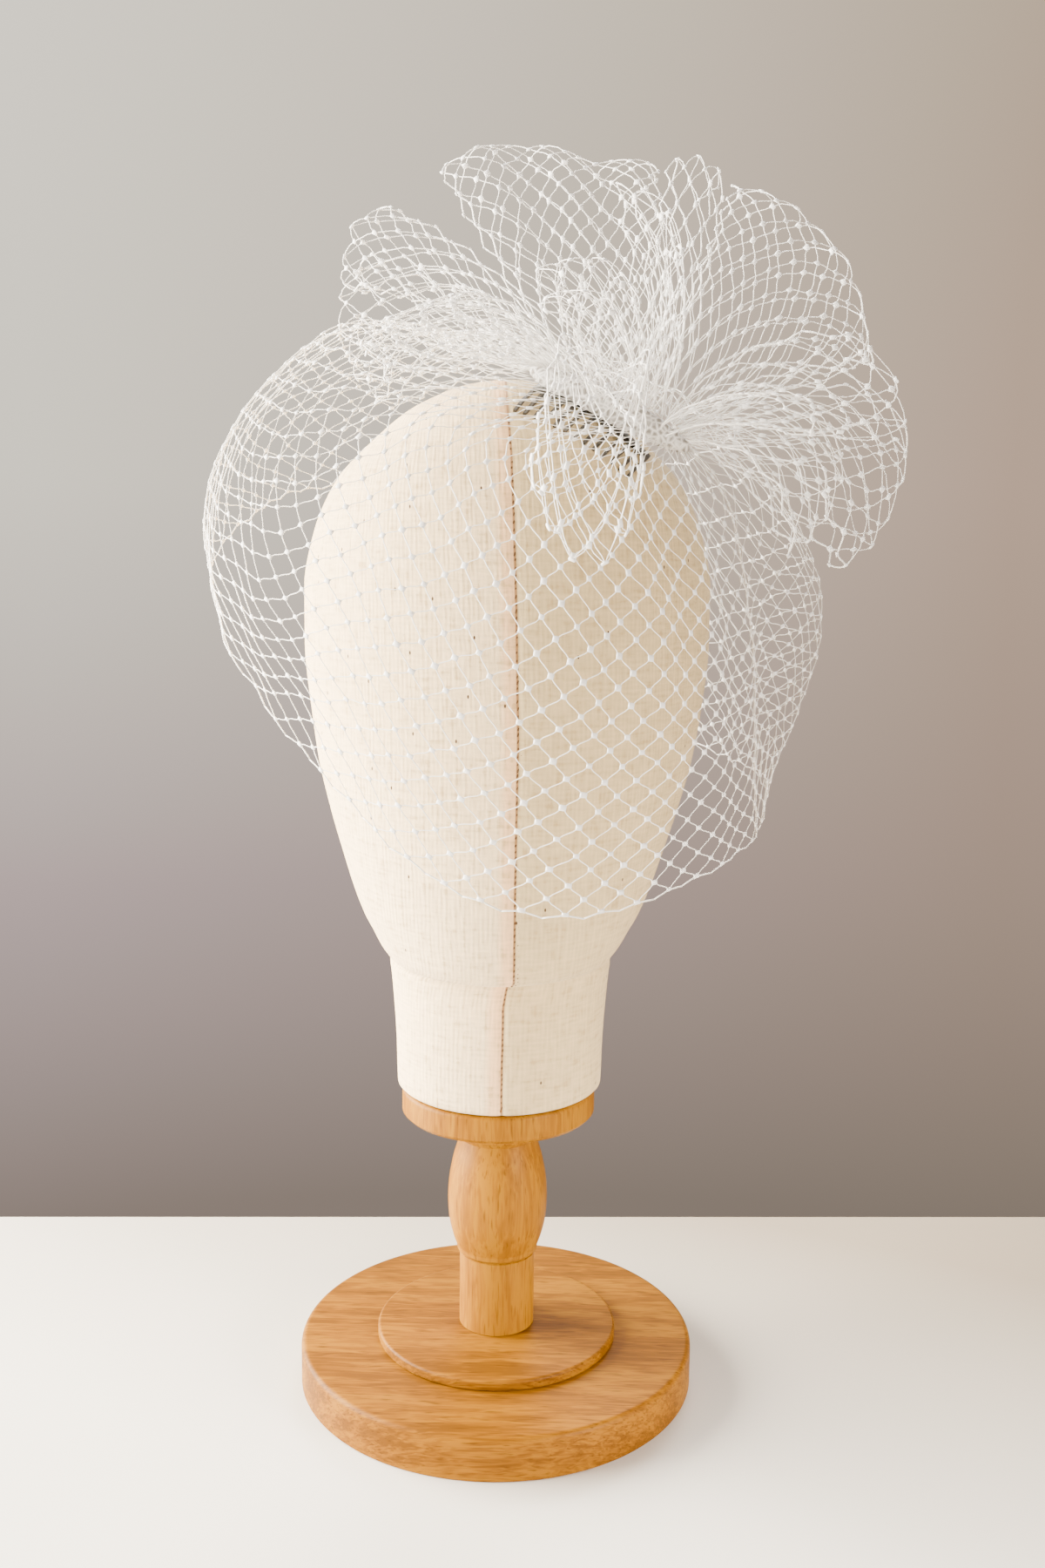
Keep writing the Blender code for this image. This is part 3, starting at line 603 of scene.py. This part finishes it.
def loopPoint(row, across, down):
    rootFrom, rootTo, tips, opens, opening, sag, ripples, rippleDeep = row[1:]
    place = rootFrom[0] + (rootTo[0] - rootFrom[0]) * across
    angle = rootFrom[1] + (rootTo[1] - rootFrom[1]) * across
    root, normal = corePlace(place, angle, rootReach)
    tip = smoothPath([np.array(q, float) + 0 * root for q in tips], across)
    far = np.sin(math.pi * down)**2 * (1 - loopSettings["cornersIn"] * np.abs(2 * across - 1)**6)
    opens = unit(np.array(opens, float)) + 0 * root
    flat = unit(opens - normal * (opens * normal).sum(-1, keepdims=True))
    blend = np.clip(far * 4, 0, 1)[..., None]
    aside = unit(flat * (1 - blend) + opens * blend)
    wave = rippleDeep * np.sin(2 * math.pi * ripples * across + 0.6) * far**1.5
    bulge = loopSettings["bulge"] * opening * np.sin(math.pi * down)**2
    width = -np.cos(math.pi * down) * (loopSettings["neck"] + bulge) + wave
    # the strip spreads early, so that its cells stand open close to the core
    half = loopSettings["across"] // 2
    rootMiddle, tipMiddle = root[half:half + 1, :1], tip[half:half + 1, :1]
    spread = (far**loopSettings["spread"])[..., None]
    middle = rootMiddle + (tipMiddle - rootMiddle) * far[..., None]
    lateral = (root - rootMiddle) * (1 - spread) + (tip - tipMiddle) * spread
    sagged = np.array(sag, float) * (4 * far * (1 - far))[..., None]
    return middle + lateral + sagged + aside * width[..., None]


def camelName(node):
    first, *rest = node.split("_")
    return first + "".join(word.capitalize() for word in rest)


def layLoop(row, seed, node=None):
    acrossShares = np.linspace(0, 1, loopSettings["across"] + 1)
    downShares = np.linspace(0, 1, loopSettings["down"] + 1)
    grid = loopPoint(row, *np.meshgrid(acrossShares, downShares, indexing="ij"))
    fold = loopSettings["down"] // 2
    front, frontLength = evenColumns(grid[:, fold:])
    back, backLength = evenColumns(grid[:, fold::-1])
    width = np.linalg.norm(np.diff(grid[:, fold], axis=0), axis=-1).sum()
    columns = max(3, round(width / loopSettings["cell"]))
    # both halves get the same number of rows, so that the strip is cut at whole cells
    rows = sum(marchRows(half, lengths, 2 * columns).shape[1] - 1
               for half, lengths in ((front, frontLength), (back, backLength))) // 2
    frontTable = marchRows(front, frontLength, 2 * columns, rows)
    backTable = marchRows(back, backLength, 2 * columns, rows)
    cloth = np.concatenate([back[:, ::-1], front[:, 1:]], axis=1)
    table = np.concatenate([0.5 - 0.5 * backTable[:, :0:-1], 0.5 + 0.5 * frontTable], axis=1)
    piece = layNetting(camelName(row[0]), cloth, table, (2, 2), ("sides",), seed, netSettings["loopThread"])
    declareNet(piece, node)
    return piece


# inner folds of the same loops, which make the pouf dense: name, then as above
innerFolds = [
    ("leftLowFold", (-20, -40), (-30, -20),
     [(-60, 8, 476), (-65, 4, 454), (-62, -8, 432), (-46, -30, 409)],
     (0.45, 0.8, -0.3), 15, (0, 4, 8), 2.0, 3.0),
    ("leftNearFold", (-20, 20), (-30, 8),
     [(-14, -52, 450), (-34, -60, 440), (-49, -62, 428), (-42, -66, 414)],
     (0.2, 0.9, 0.3), 9, (0, 0, 6), 1.5, 2.0),
    ("curlFold", (6, 4), (14, 14),
     [(38, -46, 493), (54, -52, 484), (61, -60, 462), (56, -62, 434)],
     (-0.3, 1.0, 0.1), 15, (6, -4, 4), 2.0, 3.0),
    ("curlInnerFold", (-6, 24), (10, 24),
     [(9, -76, 440), (20, -83, 446), (34, -86, 444), (43, -82, 430)],
     (0.0, 1.0, 0.5), 11, (0, -6, 6), 1.5, 2.5),
    ("lowInnerFold", (27, 14), (32, 14),
     [(128, -52, 396), (124, -58, 380), (116, -64, 366), (102, -72, 352)],
     (-0.06, 0.91, -0.42), 14, (6, -3, 10), 2.0, 3.0)]

for number, row in enumerate(loopRows):
    layLoop(row, 30 + number, node=row[0])
for number, row in enumerate(innerFolds):
    layLoop(row, 60 + number)
print("loops laid")


# the linen is drawn in under the jaw, and its neck stands a little to the left of the crown's middle
headSettings = {"around": 220, "rings": 200, "crown": 0.955,
                "slimAt": (187, 193, 205, 237, 270), "slim": (0.0, 1.6, 3.4, 2.2, 0.0),
                "shiftAt": (131, 190, 211, 240, 290), "shift": (-1.7, -1.7, -1.3, -0.9, 0.0),
                "seamSunk": 0.5, "seamDip": 1.5, "jawLine": 0.9, "jawHeight": 188.5, "jawDip": 1.3,
                "evenColumns": 0.45, "drawnColumns": 0.55}


def seamAt(height):  # X of the sewn front seam
    return np.interp(height, (132, 144, 178, 186, 196, 242, 291, 337, 367, 392, 409, 424),
                     (1.9, 1.8, 2.2, 3.4, 6.5, 6.7, 7.2, 6.1, 4.9, 3.6, 1.9, 0.5))


def formOutline(share):  # height, middle, half width, front, back of the linen, from the neck's foot up
    rows = np.array(neckRows + headRows, float)
    middle = (rows[:, 1] + rows[:, 2] + rows[:, 3]) / 3
    place = np.concatenate([[0.0], np.cumsum(np.hypot(np.diff(rows[:, 0]), np.diff(middle)))])
    step = np.diff(place)
    at = np.clip(share / headSettings["crown"], 0, 1) * place[-1]
    row = np.clip(np.searchsorted(place, at, side="right") - 1, 0, len(place) - 2)
    t = (at - place[row]) / step[row]
    curves = []
    for column in range(4):
        values = rows[:, column]
        rate = np.diff(values) / step
        slope = np.zeros(len(values))
        same = rate[1:] * rate[:-1] > 0
        level = 2 * rate[1:] * rate[:-1] / np.where(same, rate[1:] + rate[:-1], 1.0)
        slope[1:-1] = np.where(same, level, 0.0)
        slope[0], slope[-1] = rate[0], rate[-1]
        curves.append(curveBetween(t, step[row], values[row], slope[row], values[row + 1], slope[row + 1]))
    # above the last section the crown closes as an ellipsoid
    low = headRows[-1]
    rise = np.clip((share - headSettings["crown"]) / (1 - headSettings["crown"]), 0, 1)
    closing = np.sqrt(np.clip(1 - rise * (2 - rise), 0, 1))
    top = share > headSettings["crown"]
    curves[0] = np.where(top, low[0] + (headTop - low[0]) * rise * (2 - rise), curves[0])
    for column in (1, 2, 3):
        curves[column] = np.where(top, low[column] * closing, curves[column])
    height, half, front, back = curves
    half = half - np.interp(height, headSettings["slimAt"], headSettings["slim"])
    middle = headX + np.interp(height, headSettings["shiftAt"], headSettings["shift"])
    return height, middle, half, front, back


def makeHead():
    # a linen sheet wrapped round the form and sewn up the back: its columns go round the head, its rows up it
    deselectAll()
    bpy.ops.mesh.primitive_grid_add(x_subdivisions=headSettings["around"],
                                    y_subdivisions=headSettings["rings"], size=2)
    head = bpy.context.object
    head.name = head.data.name = "linenHead"
    mesh = head.data
    flat = ownPlaces(mesh)
    across, up = flat[:, 0], (flat[:, 1] + 1) / 2
    height, middle, half, front, back = formOutline(up)
    # the columns start from the seam and stand closer near it, the sheet's ends meet at the back
    even, drawn = headSettings["evenColumns"], headSettings["drawnColumns"]
    seamTurn = np.arcsin(np.clip((seamAt(height) - middle) / np.maximum(half, 8.0), -0.9, 0.9))
    turn = seamTurn * (1 - across**2) + math.pi * (even * across + drawn * across**3)
    # the panels sink a little into the padding where they are sewn, and where the jaw meets the neck
    radius = (half + (front + back) / 2) / 2
    arc = (turn - seamTurn) * np.maximum(radius, 12.0)
    fromJaw = (height - headSettings["jawHeight"]) / headSettings["jawDip"]
    sunk = (headSettings["seamSunk"] * np.exp(-(arc / headSettings["seamDip"])**2)
            + headSettings["jawLine"] * np.exp(-fromJaw**2))
    depth = np.where(np.abs(turn) < math.pi / 2, front, back)
    x, y = middle + (half - sunk) * np.sin(turn), -(depth - sunk) * np.cos(turn)
    mesh.vertices.foreach_set("co", (np.stack([x, y, height], -1) * mm).ravel())
    # metres from the back seam, where the columns are even + 3 * drawn times as wide as on average
    fromBack = mesh.attributes.new("fromBackSeam", "FLOAT", "POINT")
    fromBack.data.foreach_set("value", (1 - np.abs(across)) * (even + 3 * drawn) * radius * math.pi * mm)
    uv = mesh.uv_layers.active or mesh.uv_layers.new()
    uv.name = "weaveMetres"
    corner = np.empty(len(mesh.loops), int)
    mesh.loops.foreach_get("vertex_index", corner)
    uv.data.foreach_set("uv", (np.stack([arc[corner], height[corner]], -1) * mm).ravel())
    selectOnly(head)
    bpy.ops.object.mode_set(mode="EDIT")
    bpy.ops.mesh.select_all(action="SELECT")
    bpy.ops.mesh.remove_doubles(threshold=0.00002)
    bpy.ops.mesh.select_all(action="DESELECT")
    bpy.ops.mesh.select_non_manifold()
    bpy.ops.mesh.fill()
    turnOutwards(head)
    bpy.ops.object.shade_smooth()
    settle(head)
    head.data.materials.clear()
    head.data.materials.append(linen)
    return head


head = makeHead()
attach(head, "root")
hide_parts("head_form")
print("linen head made", len(head.data.polygons))

# front seam: one grain of stitched thread, copied down the seam; under the jaw it is sewn twice
stitchSettings = {"long": 1.5, "wide": 0.36, "proud": 0.15, "slant": 0.35, "pitch": 2.4,
                  "from": 136.0, "to": 406.0, "doubleFrom": 190.0, "doubleTo": 222.0,
                  "double": (1.5, 1.1), "hole": 0.5, "holeChance": 0.3}
# dark brown waxed cotton, twisted, matte
cottonThread, tree, shader = newMaterial("brownCottonSewingThread")
place = addNode(tree, "TexCoord")
twist = addNode(tree, "TexWave", {"wave_type": "BANDS", "bands_direction": "DIAGONAL", "Scale": 900.0},
                {"Vector": place.outputs["Object"]})
tone = addNode(tree, "ValToRGB", {"stops": [(0.2, "#3E2814"), (0.8, "#6A4726")]},
               {"Fac": twist.outputs["Fac"]})
setNode(tree, shader, {"Roughness": 0.85}, {"Base Color": tone})

outline = formOutline(np.linspace(0, 1, 600))


def frontOf(x, z):  # Y of the linen's front at a place
    middle, half, front = [np.interp(z, outline[0], outline[k]) for k in (1, 2, 3)]
    return -(front - headSettings["seamSunk"]) * math.sqrt(max(1 - ((x - middle) / half)**2, 0))


def stitchAt(x, z, tall, size):
    deselectAll()
    radius = stitchSettings["wide"] * size * mm
    bpy.ops.mesh.primitive_uv_sphere_add(segments=6, ring_count=4, radius=radius, location=(0, 0, 0))
    stitch = bpy.context.object
    bpy.ops.transform.resize(value=(1.0, 0.7, tall / stitchSettings["wide"] / 2))
    bpy.ops.object.transform_apply(location=False, rotation=False, scale=True)
    run = Vector((float(seamAt(z + 1) - seamAt(z - 1)) + 2 * stitchSettings["slant"],
                  frontOf(x, z + 1) - frontOf(x, z - 1), 2.0))
    turned = Vector((0, 0, 1)).rotation_difference(run.normalized()).to_matrix().to_4x4()
    middle = Vector((x, frontOf(x, z) - stitchSettings["proud"], z)) * mm
    stitch.data.transform(Matrix.Translation(middle) @ turned)
    return stitch


def sewSeam():
    wobble = np.random.default_rng(5)
    stitches = []
    height = stitchSettings["from"]
    while height < stitchSettings["to"]:
        x = float(seamAt(height)) + wobble.uniform(-0.15, 0.15)
        tall = stitchSettings["long"] * wobble.uniform(0.6, 1.15)
        stitches.append(stitchAt(x, height, tall, wobble.uniform(0.8, 1.15)))
        if stitchSettings["doubleFrom"] < height < stitchSettings["doubleTo"]:
            aside, above = stitchSettings["double"]
            stitches.append(stitchAt(x + aside, height + above, stitchSettings["long"] * 0.8, 0.9))
        elif wobble.uniform() < stitchSettings["holeChance"]:          # needle holes beside the seam
            beside = x + wobble.uniform(1.2, 3.0)
            stitches.append(stitchAt(beside, height + 0.6, stitchSettings["hole"], 0.75))
        height += stitchSettings["pitch"] * wobble.uniform(0.8, 1.25)
    deselectAll()
    for stitch in stitches:
        stitch.select_set(True)
    bpy.context.view_layer.objects.active = stitches[0]
    bpy.ops.object.join()
    seam = bpy.context.object
    seam.name = seam.data.name = "frontSeamStitches"
    bpy.ops.object.shade_smooth()
    seam.data.materials.clear()
    seam.data.materials.append(cottonThread)
    return seam


seamStitches = sewSeam()
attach(seamStitches, "root")
print("seam sewn", len(seamStitches.data.polygons))


# discs: radius, foot and top, rounding of the top edge, rounding of the foot
standSettings = {"segments": 144, "sharpAngle": 32, "base": (85.0, 0.0, 18.5, 2.6, 0.6),
                 "plinth": (51.8, 18.8, 23.1, 1.4, 0.3), "collar": (41.1, 119.6, 131.5, 2.2, 1.6)}
postProfile = [(16.2, 23.4), (16.2, 56.4), (17.4, 57.6), (17.6, 59.4), (19.2, 64.0),
               (20.8, 71.0), (21.4, 80.0), (20.9, 89.0), (19.3, 98.0), (17.6, 104.0),
               (16.6, 108.0), (18.2, 110.4), (18.2, 119.3)]


def turnOnLathe(name, profile, material):  # a disc drawn up ring by ring
    deselectAll()
    radius, low = profile[0]
    bpy.ops.mesh.primitive_circle_add(vertices=standSettings["segments"], radius=radius * mm,
                                      fill_type="NGON", location=(0, 0, low * mm))
    piece = bpy.context.object
    piece.name = piece.data.name = name
    bpy.ops.object.mode_set(mode="EDIT")
    bpy.ops.mesh.select_all(action="SELECT")
    for (oldRadius, oldHeight), (newRadius, newHeight) in zip(profile, profile[1:]):
        rise = (0, 0, (newHeight - oldHeight) * mm)
        bpy.ops.mesh.extrude_region_move(TRANSFORM_OT_translate={"value": rise})
        grow = newRadius / oldRadius
        if abs(grow - 1) > 1e-6:
            bpy.ops.transform.resize(value=(grow, grow, 1.0), center_override=(0, 0, newHeight * mm))
    turnOutwards(piece)
    settle(piece)
    selectOnly(piece)
    bpy.ops.object.shade_smooth_by_angle(angle=math.radians(standSettings["sharpAngle"]))
    deselectAll()
    piece.data.materials.append(material)
    return piece


def roundedDisc(radius, low, high, size, foot):  # rings of a disc whose top and foot edges are rounded
    rings = [(radius - foot, low), (radius, low + foot)]
    for step in range(7):
        turn = math.radians(15 * step)
        rings.append((radius - size + size * math.cos(turn), high - size + size * math.sin(turn)))
    return rings


def softProfile(rows, steps=4):  # more rings between the rows of a turned profile
    rows = np.array(rows, float)
    place = np.arange(len(rows))
    at = np.linspace(0, len(rows) - 1, (len(rows) - 1) * steps + 1)
    slopes = np.gradient(rows, axis=0)
    row = np.clip(at.astype(int), 0, len(rows) - 2)
    t = (at - row)[:, None]
    return [tuple(r) for r in curveBetween(t, 1.0, rows[row], slopes[row], rows[row + 1], slopes[row + 1])]


# tones: dark, middle and light wood, then the pores
baseWood = lacqueredWood("honeyLacqueredRubberwoodBase", turned=(0.6, 0.0, 0.07), stretch=(1.0, 8.0, 17.0),
                         seed=0.31, tones=("#623B00", "#744700", "#875800", "#452700"))
postWood = lacqueredWood("honeyLacqueredRubberwoodPost", turned=(0.0, 0.0, 0.4), stretch=(11.0, 11.0, 1.0),
                         seed=0.12, tones=("#7A4C00", "#865600", "#926200", "#563000"))
postFoot = [(16.2, 23.4), (16.2, 55.6), (15.4, 56.1), (15.6, 56.6)]      # its straight foot and the groove
postRings = postFoot + postProfile[1:4] + softProfile(postProfile[3:11]) + postProfile[11:]
for name, node, rings, wood in (
        ("standBase", "stand_base", roundedDisc(*standSettings["base"]), baseWood),
        ("standPlinth", "stand_plinth", roundedDisc(*standSettings["plinth"]), baseWood),
        ("standPost", "stand_post", postRings, postWood),
        ("standCollar", "stand_collar", roundedDisc(*standSettings["collar"]), postWood)):
    piece = turnOnLathe(name, rings, wood)
    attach(piece, "root")
    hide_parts(node)
print("stand turned")


# drawn wire, blackened: dark, a soft broken shine along it
combSteel, tree, shader = newMaterial("blackenedSteelCombWire")
place = addNode(tree, "TexCoord")
wear = addNode(tree, "TexNoise", {"Scale": 500.0, "Detail": 3.0}, {"Vector": place.outputs["Object"]})
tone = addNode(tree, "ValToRGB", {"stops": [(0.35, "#3A3733"), (0.7, "#6B665F")]}, {"Fac": wear})
scuff = addNode(tree, "MapRange", {"To Min": 0.3, "To Max": 0.55}, {"Value": wear})
setNode(tree, shader, {"Metallic": 1.0}, {"Base Color": tone, "Roughness": scuff})
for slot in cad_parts["comb"].material_slots:
    slot.material = combSteel

coreSettings = {"girth": 0.86, "deep": 0.9, "pleatPitch": 2.4, "flat": 3.0,
                "combLift": 0.5, "combThick": 1.8, "combGap": 0.6}
# netting drawn up tight and oversewn: white, dense, matte, with painted shade in the openings between its
# threads
gatheredNet, tree, shader = newMaterial("gatheredNylonNetStitched")
place = addNode(tree, "TexCoord")
threads = addNode(tree, "TexVoronoi", {"feature": "DISTANCE_TO_EDGE", "Scale": 420.0},
                  {"Vector": place.outputs["Object"]})
# the grey inside each cell, away from the threads, is painted shade
tone = addNode(tree, "ValToRGB", {"stops": [(0.0, "#F2F0EE"), (0.3, "#8F8A84")]}, {"Fac": threads})
bump = addNode(tree, "Bump", {"Strength": 0.8, "Distance": 0.0006}, {"Height": threads})
setNode(tree, shader, {"Roughness": 0.7}, {"Base Color": tone, "Normal": bump})


def makeCore():
    deselectAll()
    bpy.ops.mesh.primitive_uv_sphere_add(segments=96, ring_count=40, radius=1.0)
    piece = bpy.context.object
    piece.name = piece.data.name = "gatheredCore"
    flat = ownPlaces(piece.data)
    place = flat[:, 2] * coreHalf[0]
    angle = np.arctan2(flat[:, 1], flat[:, 0])
    girth = np.hypot(flat[:, 0], flat[:, 1])
    fold = 0.5 + 0.5 * np.cos(2 * math.pi * place / coreSettings["pleatPitch"] + 1.5 * np.sin(3 * angle))
    pleat = coreSettings["girth"] - coreSettings["deep"] / coreHalf[1] * fold
    front = coreHalf[1] * girth * np.sin(angle) * pleat
    out = np.maximum(coreHalf[2] * girth * np.cos(angle) * pleat, -coreSettings["flat"])
    points = core + place[:, None] * along + front[:, None] * forward + out[:, None] * outward
    seat = onHead(points, coreSettings["combLift"] + coreSettings["combThick"] + coreSettings["combGap"])
    points = np.where(((seat - points) @ outward > 0)[:, None], seat, points)
    piece.data.vertices.foreach_set("co", (points * mm).ravel())
    piece.data.update()
    turnOutwards(piece)
    bpy.ops.object.shade_smooth()
    piece.data.materials.append(gatheredNet)
    return piece


gatheredCore = makeCore()
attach(gatheredCore, "root")
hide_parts("gather_core")
print("core gathered")


stageSettings = {"floorLeftBack": 0.1126, "floorRightBack": 0.1926, "floorFront": -1.7, "floorSide": 1.6,
                 "key": 338.0, "fill": 22.0, "fillLow": 1.9, "rim": 3.0, "world": 1.35}
deselectAll()
bpy.ops.mesh.primitive_plane_add(size=2, location=(0, 0, 0))
floor = bpy.context.object
floor.name = floor.data.name = "paleFloor"
for vertex in floor.data.vertices:               # its back edge lies level in the view
    edge = stageSettings["floorRightBack"] if vertex.co.x > 0 else stageSettings["floorLeftBack"]
    vertex.co.y = edge if vertex.co.y > 0 else stageSettings["floorFront"]
    vertex.co.x *= stageSettings["floorSide"]
paleTable, tree, shader = newMaterial("palePaintedTable")   # matt painted board with a faint cloudiness
place = addNode(tree, "TexCoord")
cloud = addNode(tree, "TexNoise", {"Scale": 3.0, "Detail": 2.0}, {"Vector": place.outputs["Object"]})
tone = addNode(tree, "ValToRGB", {"stops": [(0.3, "#DAD7D0"), (0.7, "#E1DED7")]}, {"Fac": cloud})
# painted shade: the table is drawn darker towards its back and right, where less light falls
axes = addNode(tree, "SeparateXYZ", links={"Vector": place.outputs["Object"]})
away = addNode(tree, "Math", {"operation": "MULTIPLY_ADD", 1: 0.5},
               {0: axes.outputs["X"], 2: axes.outputs["Y"]})
fall = addNode(tree, "MapRange", {"From Min": -0.12, "From Max": 0.22}, {"Value": away})
shade = addNode(tree, "ValToRGB", {"stops": [(0.0, "#FFFFFF"), (1.0, "#BEB1A2")]}, {"Fac": fall})
shadedTable = addNode(tree, "Mix", {"data_type": "RGBA", "blend_type": "MULTIPLY", 0: 1.0}, {6: tone, 7: shade})
setNode(tree, shader, {"Roughness": 0.65}, {"Base Color": shadedTable.outputs[2]})
floor.data.materials.append(paleTable)

world = bpy.data.worlds.new("softGreigeStudio")
world.use_nodes = True
bpy.context.scene.world = world
tree = world.node_tree
background = next(node for node in tree.nodes if node.type == "BACKGROUND")
way = addNode(tree, "TexCoord")
parts = addNode(tree, "SeparateXYZ", links={"Vector": way.outputs["Generated"]})
rise = addNode(tree, "MapRange", {"From Min": -0.42, "From Max": 1.0}, {"Value": parts.outputs["Z"]})
leftStops = [(0.01, "#7D7068"), (0.146, "#B19F9C"), (0.323, "#EAE2D2"), (0.521, "#FBF2E0"), (0.7, "#B8AC9C")]
rightStops = [(0.01, "#74695E"), (0.146, "#988375"), (0.323, "#B49A87"), (0.521, "#B8A38C"),
              (0.65, "#5E5246")]
leftTone = addNode(tree, "ValToRGB", {"stops": leftStops}, {"Fac": rise})
rightTone = addNode(tree, "ValToRGB", {"stops": rightStops}, {"Fac": rise})
aside = addNode(tree, "MapRange", {"From Min": -0.3, "From Max": 0.3}, {"Value": parts.outputs["X"]})
tone = addNode(tree, "Mix", {"data_type": "RGBA"}, {0: aside, 6: leftTone, 7: rightTone})
setNode(tree, background, {"Strength": stageSettings["world"]}, {"Color": tone.outputs[2]})


def softLight(name, place, aim, size, power, colour, spread=180.0):
    light = bpy.data.lights.new(name, "AREA")
    light.shape = "RECTANGLE"
    light.size, light.size_y = size
    light.energy = power
    light.color = linear(colour)[:3]
    light.spread = math.radians(spread)
    item = bpy.data.objects.new(name, light)
    item.location = place
    item.rotation_euler = (Vector(aim) - Vector(place)).to_track_quat("-Z", "Y").to_euler()
    bpy.context.scene.collection.objects.link(item)


softLight("windowLeft", (-1.36, 0.22, 0.62), (0, 0, 0.27), (1.7, 1.2), stageSettings["key"], "#FFF6E6")
softLight("fillRight", (1.4, -1.1, 0.3), (0, 0, 0.2), (1.0, 0.8), stageSettings["fill"], "#FFF1E4")
softLight("fillLow", (0.95, -0.75, 0.35), (0.03, -0.02, -0.09), (0.5, 0.5), stageSettings["fillLow"],
          "#FFF1E4", spread=28.0)
softLight("topBack", (0.2, 0.9, 1.4), (0.02, -0.02, 0.47), (1.0, 0.8), stageSettings["rim"],
          "#FFFFFF", spread=34.0)

# camera as fitted to the photograph: how far it looks down and leans, in radians, and where it stands
cameraSettings = {"pitch": 0.154, "roll": 0.011, "place": (0.0089, -0.627, 0.3584), "lens": 35}
pitch, roll = cameraSettings["pitch"], cameraSettings["roll"]
ahead = Vector((0, math.cos(pitch), -math.sin(pitch)))
upright = Vector((0, math.sin(pitch), math.cos(pitch)))
across = Vector((1, 0, 0))
cameraX = (across * math.sqrt(1 - roll**2) + upright * roll).normalized()
cameraY = (upright - across * roll).normalized()
camera = bpy.data.cameras.new("camera")
camera.lens, camera.sensor_width, camera.sensor_fit = cameraSettings["lens"], 36, "AUTO"
camera.clip_start = 0.01
cameraItem = bpy.data.objects.new("camera", camera)
cameraItem.matrix_world = Matrix((cameraX, cameraY, -ahead)).transposed().to_4x4()
cameraItem.matrix_world.translation = Vector(cameraSettings["place"])
bpy.context.scene.collection.objects.link(cameraItem)
bpy.context.scene.camera = cameraItem
print("stage set")
